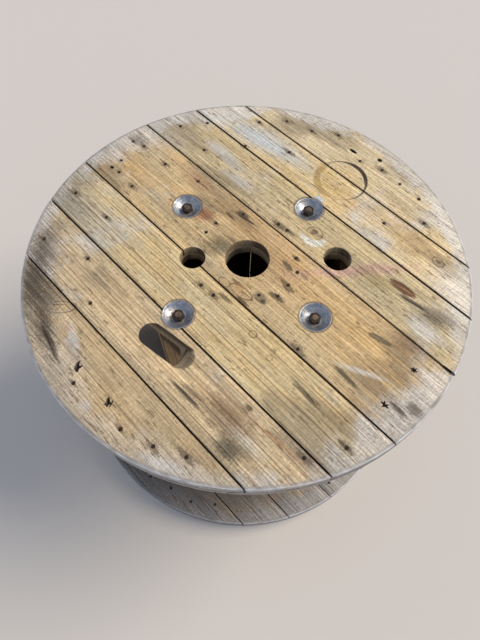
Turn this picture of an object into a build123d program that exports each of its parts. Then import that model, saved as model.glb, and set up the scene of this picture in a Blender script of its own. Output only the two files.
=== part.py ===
from build123d import *
import math
import os

# Wooden cable drum, stored standing on its lower flange.
# Each flange is two crossed layers of softwood boards, nailed together and sawn round.
# The barrel between them is a ring of flat staves whose ends sit in a groove in each flange.
# Four tie rods with dished washers and hexagon nuts pull the flanges onto the staves.
# Frame: millimetres, origin at the centre of the floor face, +Z up the arbor axis,
# +X along the boards of the upper face.

os.makedirs("parts", exist_ok=True)

# Flanges
flange_diameter = 800
board_thickness = 20
board_gap = 2
board_arris = 0.8
rim_chamfer = 2
winding_width = 470

# Board layers. The middle board has its own width and the offset of its centre line.
# A lead is how far outside the tie rod the outermost seam lies, on the low and the high side,
# and the widths follow it inward. The boards in between and beside the rim fill what is left.
upper_face_middle_width = 153
upper_face_middle_offset = 5
upper_face_low_lead = 117.5
upper_face_low_widths = (102,)
upper_face_high_lead = 109.5
upper_face_high_widths = (84,)
upper_back_middle_width = 104
upper_back_middle_offset = 0
upper_back_low_lead = 101
upper_back_low_widths = (104,)
upper_back_high_lead = 101
upper_back_high_widths = (104,)
lower_back_middle_width = 103
lower_back_middle_offset = -30.5
lower_back_low_lead = 113
lower_back_low_widths = (87,)
lower_back_high_lead = 147
lower_back_high_widths = (86, 94)
lower_face_middle_width = 104
lower_face_middle_offset = 0
lower_face_low_lead = 81
lower_face_low_widths = (110,)
lower_face_high_lead = 83
lower_face_high_widths = (113,)

# Holes through the flanges
arbor_diameter = 80
small_pin_hole_diameter = 46
small_pin_hole_radius = 98.5
small_pin_hole_angle = 225.5
large_pin_hole_diameter = 50
large_pin_hole_radius = 162
large_pin_hole_angle = 46.2

# Tie rods, at the ends of the X and Y axes
rod_count = 4
rod_circle_diameter = 328
rod_diameter = 12
rod_hole_clearance = 0.5
rod_stand_out = 1

# Dished washers, pressed into the face boards with their rims just below the wood
dish_rim_diameter = 55
dish_floor_diameter = 24
dish_depth = 10
dish_plate = 2
dish_sink = 0.5
dish_side_clearance = 0.3

# Hexagon nuts
nut_across_flats = 19
nut_height = 8
nut_bore_clearance = 0.1

# Barrel staves, just outside the tie rods, with one seam at stave_seam_angle
stave_count = 14
stave_thickness = 15
stave_gap = 2.5
stave_arris = 1
stave_rod_gap = 3.5
stave_seam_angle = 131
stave_groove_depth = 6
stave_groove_clearance = 0.5

# Cable slot through the upper flange, beside the barrel.
# It is bored on a slant, so its lower mouth lies slot_slant_run further round the drum.
slot_length = 107
slot_width = 42
slot_barrel_gap = 4.5
slot_angle = -81.6
slot_slant_run = 36

# Levels up the drum
flange_thickness = 2 * board_thickness
lower_back_level = board_thickness
barrel_level = flange_thickness
upper_back_level = flange_thickness + winding_width
upper_face_level = upper_back_level + board_thickness
overall_height = upper_face_level + board_thickness

# Radii that follow from the sizes above
flange_radius = flange_diameter / 2
rod_circle_radius = rod_circle_diameter / 2
rod_hole_radius = rod_diameter / 2 + rod_hole_clearance
stave_inner_flat = rod_circle_radius + rod_diameter / 2 + stave_rod_gap
stave_width = 2 * stave_inner_flat * math.tan(math.pi / stave_count) - stave_gap
barrel_corner_radius = math.hypot(stave_inner_flat + stave_thickness, stave_width / 2)
slot_radius = barrel_corner_radius + slot_barrel_gap + slot_width / 2

# A saw or drill runs this far past the wood, so that no cut ends on a face
overrun = 5


def dish_profile(face_level, outward, clearance, solid_above):
    """Draw half the section of a dished washer, or of the recess that takes it.

    outward is 1 for the upper face and -1 for the floor face. A recess is the washer's
    underside, moved out by the clearance and filled up to the face of the wood.
    """
    rim_level = face_level - outward * dish_sink
    seat_level = rim_level - outward * dish_depth
    under_level = seat_level - outward * dish_plate
    rim_radius = dish_rim_diameter / 2 + clearance
    floor_radius = dish_floor_diameter / 2 + clearance
    with BuildLine() as outline:
        TangentArc((floor_radius, under_level), (rim_radius, rim_level), tangent=(1, 0))
        if solid_above:
            Polyline(
                (rim_radius, rim_level),
                (rim_radius, face_level + outward * overrun),
                (0, face_level + outward * overrun),
                (0, under_level),
                (floor_radius, under_level),
            )
        else:
            Line((rim_radius, rim_level), (rim_radius - dish_plate, rim_level))
            TangentArc((floor_radius, seat_level), (rim_radius - dish_plate, rim_level), tangent=(1, 0))
            Polyline(
                (floor_radius, seat_level),
                (rod_hole_radius, seat_level),
                (rod_hole_radius, under_level),
                (floor_radius, under_level),
            )
    make_face(outline.edges())


def arbor_and_rod_holes():
    """Draw the holes that both flanges share."""
    Circle(arbor_diameter / 2)
    with PolarLocations(rod_circle_radius, rod_count):
        Circle(rod_hole_radius)


def pin_holes():
    """Draw the two unequal pin holes of the upper flange, drilled through the stave ends too."""
    with PolarLocations(small_pin_hole_radius, 1, start_angle=small_pin_hole_angle):
        Circle(small_pin_hole_diameter / 2)
    with PolarLocations(large_pin_hole_radius, 1, start_angle=large_pin_hole_angle):
        Circle(large_pin_hole_diameter / 2)


# Cable slot, as the slanted block of wood that it takes out of the upper flange
slot_tangent = Vector(1, 0).rotate(Axis.Z, slot_angle + 90)
slot_drop = Vector(0, 0, -(flange_thickness + overrun))
slot_path = slot_drop - slot_tangent * (slot_slant_run * (flange_thickness + overrun) / flange_thickness)
with BuildPart() as cable_slot:
    with BuildSketch(Plane.XY.offset(overall_height)):
        with PolarLocations(slot_radius, 1, start_angle=slot_angle):
            SlotOverall(slot_length, slot_width, rotation=90)
    extrude(amount=slot_path.length, dir=slot_path)

# Groove that takes the stave ends, cut into the back layer of each flange
with BuildPart() as stave_groove:
    with BuildSketch():
        Circle(barrel_corner_radius + stave_groove_clearance)
        Circle(stave_inner_flat - stave_groove_clearance, mode=Mode.SUBTRACT)
    extrude(amount=stave_groove_depth)

# Recesses for the dished washers, at the middle of the drum before they are placed
with BuildPart() as upper_recess:
    with BuildSketch(Plane.XZ):
        dish_profile(overall_height, 1, dish_side_clearance, solid_above=True)
    revolve(axis=Axis.Z)
with BuildPart() as lower_recess:
    with BuildSketch(Plane.XZ):
        dish_profile(0, -1, dish_side_clearance, solid_above=True)
    revolve(axis=Axis.Z)

# Upper flange, face layer: the whole round before it is parted into boards
with BuildPart() as upper_face_layer:
    with BuildSketch(Plane.XY.offset(upper_face_level)):
        Circle(flange_radius)
    extrude(amount=board_thickness)
    chamfer(upper_face_layer.faces().sort_by(Axis.Z)[-1].edges(), rim_chamfer)
    with BuildSketch(Plane.XY.offset(upper_face_level)):
        arbor_and_rod_holes()
        pin_holes()
    extrude(amount=board_thickness, mode=Mode.SUBTRACT)
    with PolarLocations(rod_circle_radius, rod_count):
        add(upper_recess.part, mode=Mode.SUBTRACT)
    add(cable_slot.part, mode=Mode.SUBTRACT)

# Upper flange, back layer: it carries the stave ends
with BuildPart() as upper_back_layer:
    with BuildSketch(Plane.XY.offset(upper_back_level)):
        Circle(flange_radius)
    extrude(amount=board_thickness)
    with BuildSketch(Plane.XY.offset(upper_back_level)):
        arbor_and_rod_holes()
        pin_holes()
    extrude(amount=board_thickness, mode=Mode.SUBTRACT)
    with Locations((0, 0, upper_back_level)):
        add(stave_groove.part, mode=Mode.SUBTRACT)
    add(cable_slot.part, mode=Mode.SUBTRACT)

# Lower flange, back layer
with BuildPart() as lower_back_layer:
    with BuildSketch(Plane.XY.offset(lower_back_level)):
        Circle(flange_radius)
    extrude(amount=board_thickness)
    with BuildSketch(Plane.XY.offset(lower_back_level)):
        arbor_and_rod_holes()
    extrude(amount=board_thickness, mode=Mode.SUBTRACT)
    with Locations((0, 0, barrel_level - stave_groove_depth)):
        add(stave_groove.part, mode=Mode.SUBTRACT)

# Lower flange, face layer: it rests on the floor
with BuildPart() as lower_face_layer:
    with BuildSketch():
        Circle(flange_radius)
    extrude(amount=board_thickness)
    chamfer(lower_face_layer.faces().sort_by(Axis.Z)[0].edges(), rim_chamfer)
    with BuildSketch():
        arbor_and_rod_holes()
    extrude(amount=board_thickness, mode=Mode.SUBTRACT)
    with PolarLocations(rod_circle_radius, rod_count):
        add(lower_recess.part, mode=Mode.SUBTRACT)


def board_spans(middle_width, middle_offset, low_lead, low_widths, high_lead, high_widths):
    """Low and high side of each board in a layer, across its boards."""
    low_seams = [-rod_circle_radius - low_lead]
    for width in low_widths:
        low_seams.append(low_seams[-1] + width + board_gap)
    high_seams = [rod_circle_radius + high_lead]
    for width in high_widths:
        high_seams.insert(0, high_seams[0] - width - board_gap)
    middle_reach = (middle_width + board_gap) / 2
    seams = low_seams + [middle_offset - middle_reach, middle_offset + middle_reach] + high_seams
    lows = [-flange_radius - overrun] + [seam + board_gap / 2 for seam in seams]
    highs = [seam - board_gap / 2 for seam in seams] + [flange_radius + overrun]
    return zip(lows, highs)


def part_into_boards(layer, name, level, spans, along):
    """Saw a round layer into its boards, which run along the X or the Y axis."""
    length = flange_diameter + 2 * overrun
    for number, (low, high) in enumerate(spans, start=1):
        middle = (low + high) / 2
        centre = (0, middle) if along == Axis.X else (middle, 0)
        size = (length, high - low) if along == Axis.X else (high - low, length)
        with BuildPart() as board:
            with BuildSketch(Plane.XY.offset(level)):
                with Locations(centre):
                    Rectangle(*size)
            extrude(amount=board_thickness)
            chamfer(board.edges().filter_by(along), board_arris)
            add(layer.part, mode=Mode.INTERSECT)
        board.part.label = f"{name}_{number}"
        export_step(board.part, f"parts/{name}_{number}.step")


part_into_boards(
    upper_face_layer,
    "upper_face_board",
    upper_face_level,
    board_spans(
        upper_face_middle_width,
        upper_face_middle_offset,
        upper_face_low_lead,
        upper_face_low_widths,
        upper_face_high_lead,
        upper_face_high_widths,
    ),
    Axis.X,
)
part_into_boards(
    upper_back_layer,
    "upper_back_board",
    upper_back_level,
    board_spans(
        upper_back_middle_width,
        upper_back_middle_offset,
        upper_back_low_lead,
        upper_back_low_widths,
        upper_back_high_lead,
        upper_back_high_widths,
    ),
    Axis.Y,
)
part_into_boards(
    lower_back_layer,
    "lower_back_board",
    lower_back_level,
    board_spans(
        lower_back_middle_width,
        lower_back_middle_offset,
        lower_back_low_lead,
        lower_back_low_widths,
        lower_back_high_lead,
        lower_back_high_widths,
    ),
    Axis.X,
)
part_into_boards(
    lower_face_layer,
    "lower_face_board",
    0,
    board_spans(
        lower_face_middle_width,
        lower_face_middle_offset,
        lower_face_low_lead,
        lower_face_low_widths,
        lower_face_high_lead,
        lower_face_high_widths,
    ),
    Axis.Y,
)

# Barrel staves, from groove floor to groove floor
stave_pitch = 360 / stave_count
for number in range(1, stave_count + 1):
    stave_angle = stave_seam_angle + (number - 0.5) * stave_pitch
    with BuildPart() as stave:
        with BuildSketch(Plane.XY.offset(barrel_level - stave_groove_depth)):
            with PolarLocations(stave_inner_flat + stave_thickness / 2, 1, start_angle=stave_angle):
                Rectangle(stave_thickness, stave_width)
        extrude(amount=winding_width + 2 * stave_groove_depth)
        chamfer(stave.edges().filter_by(Axis.Z), stave_arris)
        with BuildSketch(Plane.XY.offset(upper_back_level)):
            pin_holes()
        extrude(amount=stave_groove_depth, mode=Mode.SUBTRACT)
    stave.part.label = f"barrel_stave_{number}"
    export_step(stave.part, f"parts/barrel_stave_{number}.step")

# Nut seats: the dish floors, below the upper face and above the floor face
upper_seat_level = overall_height - dish_sink - dish_depth
lower_seat_level = dish_sink + dish_depth

# Tie rods, with a little thread standing out of each nut
rod_bottom = lower_seat_level - nut_height - rod_stand_out
rod_top = upper_seat_level + nut_height + rod_stand_out
for number in range(rod_count):
    with BuildPart() as tie_rod:
        with BuildSketch(Plane.XY.offset(rod_bottom)):
            with PolarLocations(rod_circle_radius, 1, start_angle=number * 360 / rod_count):
                Circle(rod_diameter / 2)
        extrude(amount=rod_top - rod_bottom)
    tie_rod.part.label = f"tie_rod_{number + 1}"
    export_step(tie_rod.part, f"parts/tie_rod_{number + 1}.step")

# Dished washers
with BuildPart() as upper_dish:
    with BuildSketch(Plane.XZ):
        dish_profile(overall_height, 1, 0, solid_above=False)
    revolve(axis=Axis.Z)
with BuildPart() as lower_dish:
    with BuildSketch(Plane.XZ):
        dish_profile(0, -1, 0, solid_above=False)
    revolve(axis=Axis.Z)
for side, dish in (("upper", upper_dish), ("lower", lower_dish)):
    for number in range(rod_count):
        with BuildPart() as washer:
            with PolarLocations(rod_circle_radius, 1, start_angle=number * 360 / rod_count):
                add(dish.part)
        washer.part.label = f"{side}_dished_washer_{number + 1}"
        export_step(washer.part, f"parts/{side}_dished_washer_{number + 1}.step")

# Hexagon nuts, the four of a flange in one node
for side, level in (("upper", upper_seat_level), ("lower", lower_seat_level - nut_height)):
    with BuildPart() as nuts:
        with BuildSketch(Plane.XY.offset(level)):
            with PolarLocations(rod_circle_radius, rod_count):
                RegularPolygon(nut_across_flats / 2, 6, major_radius=False)
                Circle(rod_diameter / 2 + nut_bore_clearance, mode=Mode.SUBTRACT)
        extrude(amount=nut_height)
    nuts.part.label = f"{side}_rod_nuts"
    export_step(nuts.part, f"parts/{side}_rod_nuts.step")
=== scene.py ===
"""Wooden cable drum: its dressed pieces, their finishes, the studio and the camera."""

import logging
import math
import random
from collections.abc import Callable, Iterator, Sequence
from contextlib import contextmanager
from dataclasses import dataclass, field
from enum import Enum
from functools import partial

import bpy
from mathutils import Matrix, Vector

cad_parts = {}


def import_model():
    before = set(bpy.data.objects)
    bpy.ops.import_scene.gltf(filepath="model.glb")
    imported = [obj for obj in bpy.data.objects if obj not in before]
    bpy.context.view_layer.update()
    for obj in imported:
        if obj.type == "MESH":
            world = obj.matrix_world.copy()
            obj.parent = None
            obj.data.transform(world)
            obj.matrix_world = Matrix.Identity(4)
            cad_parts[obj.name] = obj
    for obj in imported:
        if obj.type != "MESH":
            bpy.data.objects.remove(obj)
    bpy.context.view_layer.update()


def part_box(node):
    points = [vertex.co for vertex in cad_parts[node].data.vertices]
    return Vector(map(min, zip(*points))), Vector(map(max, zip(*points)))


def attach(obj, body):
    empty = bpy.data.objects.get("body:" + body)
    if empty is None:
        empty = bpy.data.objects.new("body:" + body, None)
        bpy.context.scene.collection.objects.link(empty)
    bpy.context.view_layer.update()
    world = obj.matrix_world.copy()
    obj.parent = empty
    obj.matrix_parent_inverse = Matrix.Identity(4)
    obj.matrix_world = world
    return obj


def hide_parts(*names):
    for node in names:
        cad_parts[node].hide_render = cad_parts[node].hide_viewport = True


log = logging.getLogger("cable_drum")

MM = 0.001
ROUND_ANGLE = math.radians(40)

# The drum's height, and the thickness of a flange and of a board, in millimetres
HEIGHT = 550.0
FLANGE = 40.0
BOARD = 20.0

# The circle that the tie rods stand on, and the distance, angle and radius of the pin holes
ROD_CIRCLE = 164.0
SMALL_PIN = (98.5, 225.5, 23.0)
LARGE_PIN = (162.0, 46.2, 25.0)

Point = tuple[float, float]
Solid = bpy.types.Object
Socket = bpy.types.NodeSocket
Adder = Callable[..., Socket]


class Grain(Enum):
    """The axis that the fibres of a piece of wood run along."""

    X = 0
    Y = 1
    Z = 2


class Side(Enum):
    """Which way a face of a flange looks."""

    UP = 1
    DOWN = -1

    def word(self) -> str:
        """The word for the flange whose open face looks this way."""
        return "upper" if self is Side.UP else "lower"


# Modelling by hand: one primitive at its place, then edit operators


def select_only(obj: Solid) -> None:
    """Make one object the selected and active one.

    Args:
        obj: The object.
    """
    bpy.ops.object.select_all(action="DESELECT")
    obj.select_set(True)
    bpy.context.view_layer.objects.active = obj


@contextmanager
def edit_mode(obj: Solid) -> Iterator[None]:
    """Hold an object in edit mode, with all of it selected at first.

    Args:
        obj: The object.

    Yields:
        Nothing. It goes back to object mode after the block.
    """
    select_only(obj)
    bpy.ops.object.mode_set(mode="EDIT")
    bpy.ops.mesh.select_all(action="SELECT")
    yield
    bpy.ops.object.mode_set(mode="OBJECT")


def settle(obj: Solid, name: str) -> Solid:
    """Name an object and put its place, turn and scale into its mesh.

    Args:
        obj: The object to settle.
        name: The name it is given.

    Returns:
        The same object, now at the origin.
    """
    select_only(obj)
    bpy.ops.object.transform_apply(location=True, rotation=True, scale=True)
    obj.name = name
    obj.data.name = name
    return obj


def on_circle(radius: float, angle: float) -> Point:
    """The point on a circle round the arbor's axis at an angle in radians."""
    return radius * math.cos(angle), radius * math.sin(angle)


def rod_places() -> list[Point]:
    """Where the four tie rods stand, in millimetres."""
    return [on_circle(ROD_CIRCLE, math.radians(90 * quarter)) for quarter in range(4)]


def block(name: str, low: Sequence[float], high: Sequence[float]) -> Solid:
    """Add a sawn block between two corners.

    Args:
        name: The name of the block.
        low: Its lowest corner in metres.
        high: Its highest corner in metres.

    Returns:
        The block.
    """
    bpy.ops.object.select_all(action="DESELECT")
    bpy.ops.mesh.primitive_cube_add(size=1)
    obj = bpy.context.object
    obj.scale = [h - l for l, h in zip(low, high)]
    obj.location = [(h + l) / 2 for l, h in zip(low, high)]
    return settle(obj, name)


def turned(name: str, profile: Sequence[Point], segments: int, place: Point = (0, 0)) -> Solid:
    """Turn a solid ring by ring from its profile.

    Args:
        name: The name of the solid.
        profile: Radius and level of each ring in millimetres. A profile whose last
            ring is its first one makes a closed hoop, any other is capped at both ends.
        segments: Sides of each ring.
        place: Where its axis stands, in millimetres.

    Returns:
        The turned solid.
    """
    bpy.ops.object.select_all(action="DESELECT")
    radius, level = profile[0]
    bpy.ops.mesh.primitive_circle_add(vertices=segments, radius=radius * MM, location=(0, 0, level * MM))
    obj = bpy.context.object
    with edit_mode(obj):
        for next_radius, next_level in profile[1:]:
            bpy.ops.mesh.extrude_edges_move()
            bpy.ops.transform.translate(value=(0, 0, (next_level - level) * MM))
            share = next_radius / radius
            bpy.ops.transform.resize(value=(share, share, 1))
            radius, level = next_radius, next_level
        bpy.ops.mesh.select_all(action="SELECT")
        bpy.ops.mesh.remove_doubles(threshold=0.001 * MM)
        if profile[0] != profile[-1]:
            bpy.ops.mesh.fill_holes(sides=0)
        bpy.ops.mesh.select_all(action="SELECT")
        bpy.ops.mesh.normals_make_consistent(inside=False)
    obj.location.x += place[0] * MM
    obj.location.y += place[1] * MM
    return settle(obj, name)


def rod_blank(
    name: str, radius: float, low: float, high: float, segments: int, place: Point = (0, 0)
) -> Solid:
    """Turn a plain cylinder between two levels, all in millimetres."""
    return turned(name, ((radius, low), (radius, high)), segments, place)


def drill(
    name: str, radius: float, floor: float, ceiling: float, wear: float, segments: int, place: Point = (0, 0)
) -> Solid:
    """Turn a cutter for a hole whose two edges are worn round.

    Args:
        name: The name of the cutter.
        radius: The radius of the hole in millimetres.
        floor: The lower face that it goes through.
        ceiling: The upper face that it goes through.
        wear: How far the edges are worn.
        segments: Sides of the hole.
        place: Where its axis stands.

    Returns:
        The cutter, which runs a little past both faces.
    """
    worn = ((1.5 * wear, -0.6), (0.3 * wear, 0.4 * wear), (0.0, 1.3 * wear))
    below = [(radius + out, floor + rise) for out, rise in worn]
    above = [(radius + out, ceiling - rise) for out, rise in reversed(worn)]
    return turned(name, below + above, segments, place)


def copy_of(obj: Solid, name: str) -> Solid:
    """Copy a piece with a mesh of its own.

    Args:
        obj: The piece.
        name: The name of the copy.

    Returns:
        The copy.
    """
    twin = obj.copy()
    twin.data = obj.data.copy()
    twin.name = name
    twin.data.name = name
    bpy.context.scene.collection.objects.link(twin)
    return twin


def apply_modifier(obj: Solid, kind: str, **settings: object) -> None:
    """Give a piece one modifier and apply it at once.

    Args:
        obj: The piece.
        kind: The type of the modifier.
        settings: Its settings.
    """
    select_only(obj)
    modifier = obj.modifiers.new(kind.lower(), kind)
    for key, value in settings.items():
        setattr(modifier, key, value)
    bpy.ops.object.modifier_apply(modifier=modifier.name)


def carve(obj: Solid, tool: Solid, operation: str = "DIFFERENCE") -> None:
    """Cut a piece with a tool, which is left as it is. The piece keeps its pith and its tone.

    Args:
        obj: The piece.
        tool: The tool.
        operation: Whether the tool takes away what it covers or leaves only that.

    Raises:
        RuntimeError: If nothing is left of the piece.
    """
    attributes = obj.data.attributes
    tags = None
    if "pith" in attributes:
        tags = tuple(attributes["pith"].data[0].vector), attributes["tone"].data[0].value
    apply_modifier(obj, "BOOLEAN", operation=operation, solver="EXACT", object=tool)
    if not obj.data.polygons:
        raise RuntimeError(f"nothing is left of {obj.name} after {tool.name}")
    if tags:
        tag(obj, *tags)


def discard(*tools: Solid) -> None:
    """Remove cutting tools that have done their work."""
    for tool in tools:
        bpy.data.objects.remove(tool, do_unlink=True)


def joined(name: str, parts: Sequence[Solid]) -> Solid:
    """Join parts into one object.

    Args:
        name: The name of the object.
        parts: The parts.

    Returns:
        The object.
    """
    bpy.ops.object.select_all(action="DESELECT")
    for part in parts:
        part.select_set(True)
    bpy.context.view_layer.objects.active = parts[0]
    if len(parts) > 1:
        bpy.ops.object.join()
    return settle(bpy.context.object, name)


def round_edges(obj: Solid, width: float) -> None:
    """Round the sharp edges of a piece by a width in millimetres."""
    limits = {"limit_method": "ANGLE", "angle_limit": ROUND_ANGLE, "use_clamp_overlap": False}
    apply_modifier(obj, "BEVEL", width=width * MM, segments=2, **limits)


def smooth(obj: Solid) -> None:
    """Shade a piece smooth, except across its sharp edges."""
    select_only(obj)
    bpy.ops.object.shade_smooth_by_angle(angle=ROUND_ANGLE)


def boxes_meet(a: Solid, b: Solid) -> bool:
    """Whether the boxes of two pieces overlap.

    Args:
        a: One piece.
        b: The other piece.

    Returns:
        Whether they do.
    """
    lows, highs = [], []
    for obj in (a, b):
        corners = [Vector(c) for c in obj.bound_box]
        lows.append([min(c[i] for c in corners) for i in range(3)])
        highs.append([max(c[i] for c in corners) for i in range(3)])
    return all(lows[0][i] < highs[1][i] and lows[1][i] < highs[0][i] for i in range(3))


def tag(obj: Solid, pith: Sequence[float], tone: float) -> None:
    """Store on a piece of wood where its pith lies and how dark it has gone.

    Args:
        obj: The piece of wood.
        pith: A point in metres on the line that its growth rings run round.
        tone: Its tone, from 0 for pale to 1 for dark.
    """
    mesh = obj.data
    count = len(mesh.vertices)
    middle = mesh.attributes.get("pith") or mesh.attributes.new("pith", "FLOAT_VECTOR", "POINT")
    middle.data.foreach_set("vector", list(pith) * count)
    shade = mesh.attributes.get("tone") or mesh.attributes.new("tone", "FLOAT", "POINT")
    shade.data.foreach_set("value", [tone] * count)


def dress(obj: Solid, material: bpy.types.Material, slot: str, *nodes: str) -> Solid:
    """Finish a piece: its material, its body and the nodes it stands for.

    Args:
        obj: The piece.
        material: Its material.
        slot: The record's material slot. It is not used.
        nodes: The CAD nodes that it replaces.

    Returns:
        The piece.
    """
    obj.data.materials.clear()
    obj.data.materials.append(material)
    smooth(obj)
    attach(obj, "root")
    if nodes:
        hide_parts(*nodes)
    log.info("%s: %d faces, stands for %s", obj.name, len(obj.data.polygons), ", ".join(nodes) or "nothing")
    return obj


# Finishes

SMOOTH = {"interpolation_type": "SMOOTHSTEP"}
COLOUR = {"data_type": "RGBA"}
TINT = {"data_type": "RGBA", "blend_type": "MULTIPLY"}


def linear(hex_colour: str) -> tuple[float, float, float, float]:
    """Turn an sRGB hex colour into linear values.

    Args:
        hex_colour: The colour, as # and six digits.

    Returns:
        Red, green, blue and an alpha of 1.
    """
    values = [int(hex_colour[i : i + 2], 16) / 255 for i in (1, 3, 5)]
    red, green, blue = (v / 12.92 if v <= 0.04045 else ((v + 0.055) / 1.055) ** 2.4 for v in values)
    return red, green, blue, 1.0


def feed(socket: Socket, value: object) -> None:
    """Link a node's input to another socket, or set it to a plain value.

    Args:
        socket: The input.
        value: The socket or the value.
    """
    if isinstance(value, Socket):
        socket.id_data.links.new(value, socket)
    else:
        socket.default_value = value


def adjust(node: bpy.types.Node, **named: object) -> None:
    """Set properties of a node and feed its inputs by name.

    Args:
        node: The node.
        named: A name in small letters is a property's. One with a capital is an
            input's, with _ for a space.
    """
    for key, value in named.items():
        if key[0].islower():
            setattr(node, key, value)
        else:
            feed(node.inputs[key.replace("_", " ")], value)


def add_node(
    tree: bpy.types.NodeTree, kind: str, *values: object, out: str | None = None, **named: object
) -> Socket:
    """Add a node with its settings, values and links.

    Args:
        tree: The node tree it goes into.
        kind: The node's type, without the ShaderNode in front.
        values: What its inputs take, in their order. Only inputs in use are counted.
        out: The name of the output that is wanted.
        named: Properties and inputs by name, as adjust takes them.

    Returns:
        The wanted output, or else the first one in use.
    """
    node = tree.nodes.new("ShaderNode" + kind)
    adjust(node, **named)
    for socket, value in zip([socket for socket in node.inputs if socket.enabled], values):
        feed(socket, value)
    return node.outputs[out] if out else next(socket for socket in node.outputs if socket.enabled)


def new_material(name: str) -> tuple[bpy.types.Material, bpy.types.Node, Adder]:
    """Start a material.

    Args:
        name: Its name.

    Returns:
        The material, its Principled shader and the function that adds nodes to it.
    """
    material = bpy.data.materials.new(name)
    material.use_nodes = True
    tree = material.node_tree
    return material, tree.nodes["Principled BSDF"], partial(add_node, tree)


@dataclass(frozen=True)
class Mark:
    """An oval mark on the upper face.

    Attributes:
        x: Its middle along the boards, in millimetres.
        y: Its middle across the boards, in millimetres.
        long: Half its length in millimetres.
        wide: Half its width in millimetres.
        turn: The angle of its length from the boards, in degrees.
    """

    x: float
    y: float
    long: float
    wide: float
    turn: float

    def span(self) -> float:
        """How far it reaches across the boards from its middle, at most."""
        return max(self.long, self.wide)

    def touches(self, low: float, high: float) -> bool:
        """Whether it reaches into the strip between two places across the boards."""
        return low - self.span() < self.y < high + self.span()


@dataclass(frozen=True)
class Stain(Mark):
    """A patch of another colour.

    Attributes:
        colour: Its colour.
        strength: How much of the wood it covers, from 0 to 1.
        soft: How soft its edge is, from 0 for crisp to 1.
    """

    colour: str
    strength: float
    soft: float = 0.7

    def span(self) -> float:
        """How far its frayed edge reaches."""
        turn = math.radians(self.turn)
        return 1.5 * math.hypot(self.long * math.sin(turn), self.wide * math.cos(turn)) + 4


@dataclass(frozen=True)
class RingMark(Mark):
    """A line in the shape of an arc, as the foot of a tin leaves, the edge of a knot, or the painted shade in
    the seam round a washer's recess.

    Attributes:
        line: Half the width of its line in millimetres.
        start: The middle of its darkest stretch, in degrees from its length.
        reach: How far to both sides of that it fades out, in degrees.
        colour: Its colour.
        strength: How much of the wood it covers, from 0 to 1.
    """

    line: float
    start: float
    reach: float
    colour: str
    strength: float

    def span(self) -> float:
        """How far its line reaches."""
        return super().span() + 2 * self.line


@dataclass(frozen=True)
class Pattern:
    """A noise that is drawn out along the grain.

    Attributes:
        across: How often it repeats in a metre across the grain.
        along: How often it repeats in a metre along the grain.
        detail: How much fine detail it has.
    """

    across: float
    along: float
    detail: float = 2.0


# Marks of growth, saw and weather, of which the finest are drawn as coarse as the render can show
RING_WANDER = Pattern(9.0, 1.4, 3.0)
STREAKS = Pattern(150.0, 3.5, 3.0)
PORES = Pattern(260.0, 45.0)
SAW_MARKS = Pattern(60.0, 330.0)
PATCHES = Pattern(24.0, 7.0, 4.0)
GRIME = Pattern(13.0, 6.0, 6.0)

# What a length along the grain counts for in the rust round a nail, which runs along the fibres
NAIL_STREAK = 0.4

# The middle of the shade on the lower flange, in metres
SHADE_MIDDLE = (0.0, -0.11, 0.0)


@dataclass(frozen=True)
class SawnPine:
    """Sawn softwood, weathered: fine growth lines, grey where it is worn, dark in the pores.

    Attributes:
        name: The name of the material.
        grain: The axis that the fibres run along.
        early: The pale wood of a ring.
        late: The dark line of a ring.
        amber: The warm tint of the darker boards.
        grey: The pale colour that weather gives.
        dirt_and_shade: The colour of what sticks in seams.
        greying: How much of the face has gone grey.
        grime: The colour of the darker patches.
        pore: The colour of the short dark lines of the pores.
        sawn_end: The colour of the weathered rim.
        rubbed: The pale colour of the rim's rubbed edges, partly wear and partly a painted highlight.
        shade: The colour of the painted shade on the lower flange round the barrel, under the upper flange.
        stave_top_shade: The colour of the painted shade on the upper ends of the staves, under the upper
            flange.
        nail_rust: The colour of the wood round a nail.
        ring_mm: The distance between rings.
        fibre_mm: The width of the fibres, drawn a little coarser than they are.
        nails: Where rusty nails stain the face, in millimetres.
        stains: Marks on the face.
        rings: Arc-shaped marks on the face.
        seams: Where dirt gathers across the boards, in millimetres.
        core: How strongly the painted shade darkens the lower flange round the barrel, from 0 to 1.
        lines: How clear the lines of the rings are, from 0 to 1.
    """

    name: str
    grain: Grain
    early: str
    late: str
    amber: str
    grey: str
    dirt_and_shade: str
    greying: float
    grime: str = "#74695a"
    pore: str = "#6a4f36"
    sawn_end: str = "#a5a3a1"
    rubbed: str = "#dfe2e8"
    shade: str = "#413f44"
    stave_top_shade: str = "#34230f"
    nail_rust: str = "#5f5042"
    ring_mm: float = 5.4
    fibre_mm: float = 2.4
    nails: tuple[Point, ...] = ()
    stains: tuple[Stain, ...] = ()
    rings: tuple[RingMark, ...] = ()
    seams: tuple[float, ...] = ()
    core: float = 0.0
    lines: float = 0.8

    def build(self) -> bpy.types.Material:
        """Make the material.

        Returns:
            The material.
        """
        material, shader, add = new_material(self.name)
        paint = WoodPainter(self, add)
        for coat in (
            paint.weather, paint.stain, paint.draw_arcs, paint.grain, paint.soil, paint.edge, paint.shade
        ):
            coat()
        relief = add("Math", paint.ring, -0.5, paint.fibres, operation="MULTIPLY_ADD")
        relief = add("Math", paint.streaks, 0.6, relief, operation="MULTIPLY_ADD")
        adjust(
            shader,
            Base_Color=paint.colour,
            Roughness=add("MapRange", paint.patches, 0.3, 0.7, 0.72, 0.9, **SMOOTH),
            Normal=add("Bump", Strength=0.55, Distance=0.35 * MM, Height=relief),
        )
        return material


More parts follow.
